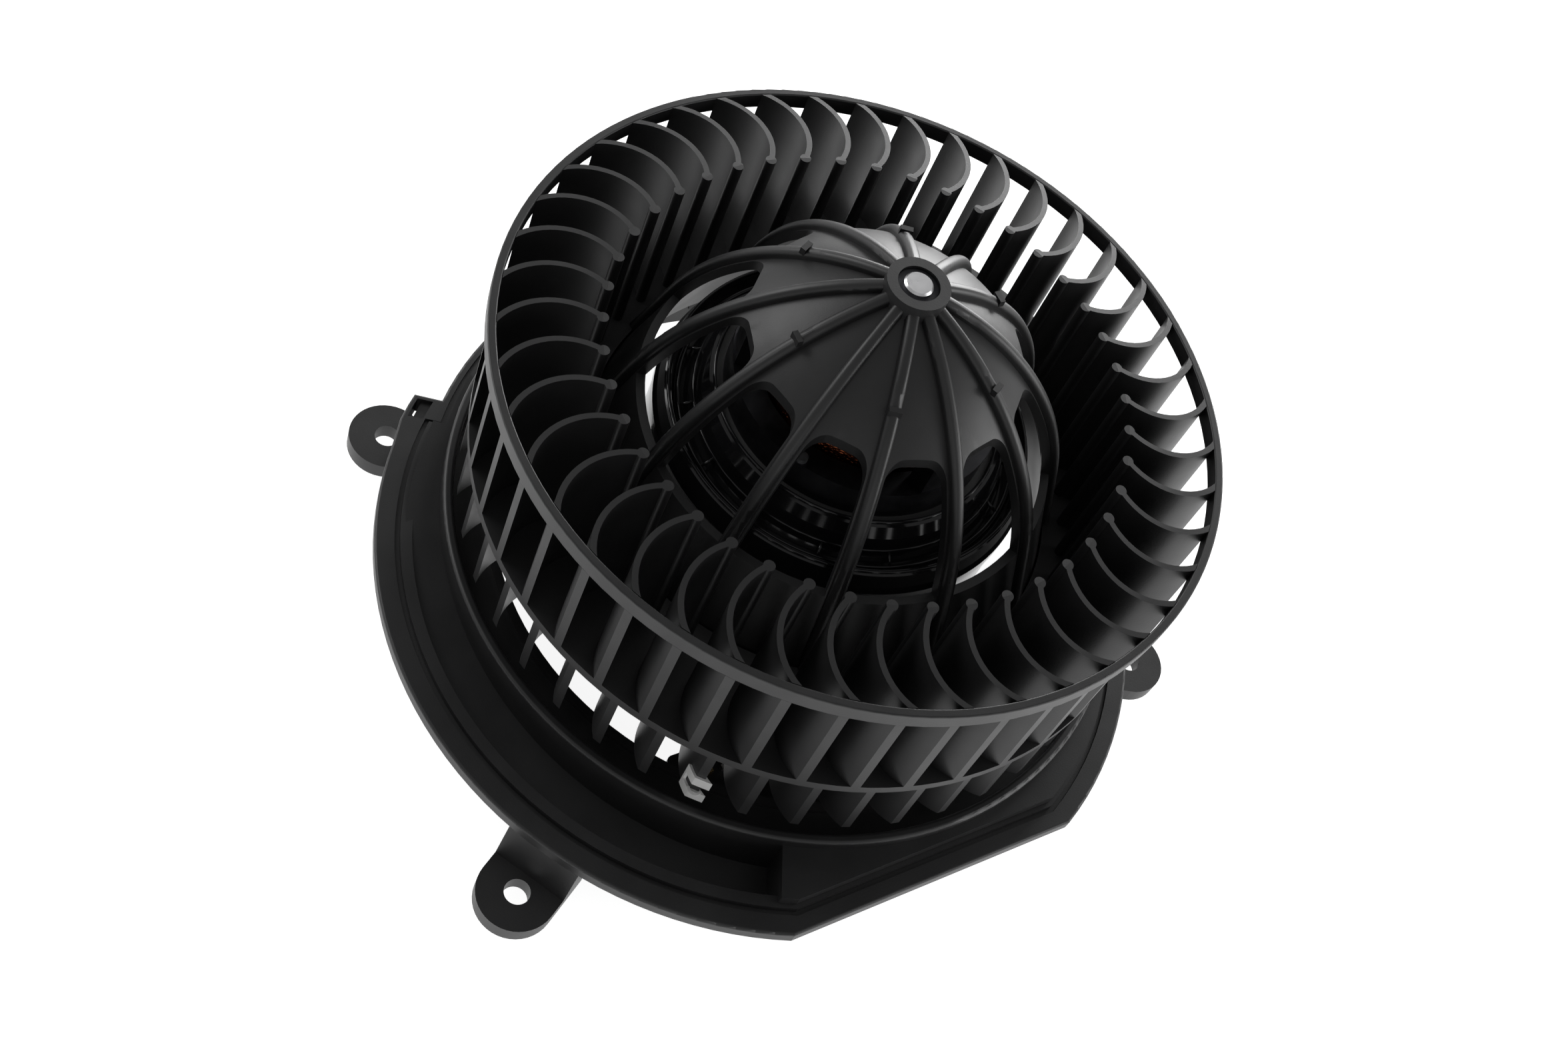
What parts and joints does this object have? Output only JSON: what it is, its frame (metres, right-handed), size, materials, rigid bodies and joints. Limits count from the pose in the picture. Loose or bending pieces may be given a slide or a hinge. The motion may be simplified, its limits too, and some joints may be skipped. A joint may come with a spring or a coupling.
{
  "type": "blower motor wheel",
  "caption": "Heater blower: squirrel-cage fan wheel with a ribbed, windowed dome on a small motor, held in a round mounting flange with a flat side and drilled ears.",
  "frame": {"origin": "on the shaft's axis at the flat bottom of the motor's end cap", "axes": "+Z along the shaft towards the wheel's nose; the flange's flat side faces -Y"},
  "size_m": [0.1778, 0.1674, 0.1109],
  "materials": {
    "black_plastic": "satin moulded",
    "gloss_black": "glossy moulded",
    "shaft_steel": "ground",
    "yoke_steel": "zinc plated",
    "spring_steel": "spring temper",
    "dark_steel": "oxide black",
    "core_steel": "laminated",
    "copper": "enamelled copper wire",
    "commutator_copper": "turned copper",
    "bronze": "oil-filled sintered bronze",
    "terminal_brass": "stamped brass",
    "tinned": "tin plated",
    "ferrite": "sintered ferrite",
    "carbon": "graphite",
    "phenolic": "moulded phenolic",
    "card_plastic": "glass-filled plastic",
    "capacitor_case": "dipped film",
    "damper_rubber": "moulded rubber",
    "lead_insulation": "insulated"
  },
  "bodies": {
    "housing": {"motor_yoke": "dark_steel", "magnet_left": "ferrite", "magnet_right": "ferrite", "magnet_clips": "spring_steel", "upper_bracket": "dark_steel", "bracket_rivets": "yoke_steel", "upper_bearing": "bronze", "end_cap": "black_plastic", "lower_bearing": "bronze", "brush_card": "card_plastic", "brush_posts": "shaft_steel", "choke_core_front": "ferrite", "choke_core_back": "ferrite", "choke_coil_front": "copper", "choke_coil_back": "copper", "capacitor": "capacitor_case", "motor_holder": "gloss_black", "upper_damper": "damper_rubber", "lower_damper": "damper_rubber", "holder_screws": "dark_steel", "mounting_flange": "black_plastic", "power_connector": "black_plastic", "terminal_positive": "terminal_brass", "terminal_negative": "tinned", "lead_positive": "lead_insulation", "lead_negative": "lead_insulation"},
    "rotor": {"wheel_rim": "black_plastic", "wheel_upper_blades": "black_plastic", "wheel_mid_ring": "black_plastic", "wheel_lower_blades": "black_plastic", "wheel_dome": "black_plastic", "balance_clip": "spring_steel", "motor_shaft": "shaft_steel", "shaft_clip": "dark_steel", "upper_thrust_washer": "phenolic", "lower_thrust_washer": "phenolic", "armature_core": "core_steel", "armature_windings": "copper", "commutator_core": "phenolic", "commutator_bars": "commutator_copper"},
    "brush_gear_left": {"brush_arm_left": "spring_steel", "brush_left": "carbon"},
    "brush_gear_right": {"brush_arm_right": "spring_steel", "brush_right": "carbon"}
  },
  "joints": [
    {"name": "wheel_spin", "type": "hinge", "parent": "housing", "child": "rotor", "pos_m": [0, 0, 0.082], "axis": [0, 0, 1], "continuous": true},
    {"name": "brush_right_lift", "type": "hinge", "parent": "housing", "child": "brush_gear_right", "pos_m": [0.0178, 0.0146, 0.02], "axis": [0, 0, 1], "range_deg": [0, 6], "stiffness_Nm_per_rad": 0.02, "springref_deg": -28.65},
    {"name": "brush_left_lift", "type": "hinge", "parent": "housing", "child": "brush_gear_left", "pos_m": [-0.0178, -0.0146, 0.02], "axis": [0, 0, 1], "range_deg": [0, 6], "stiffness_Nm_per_rad": 0.02, "springref_deg": -28.65}
  ]
}
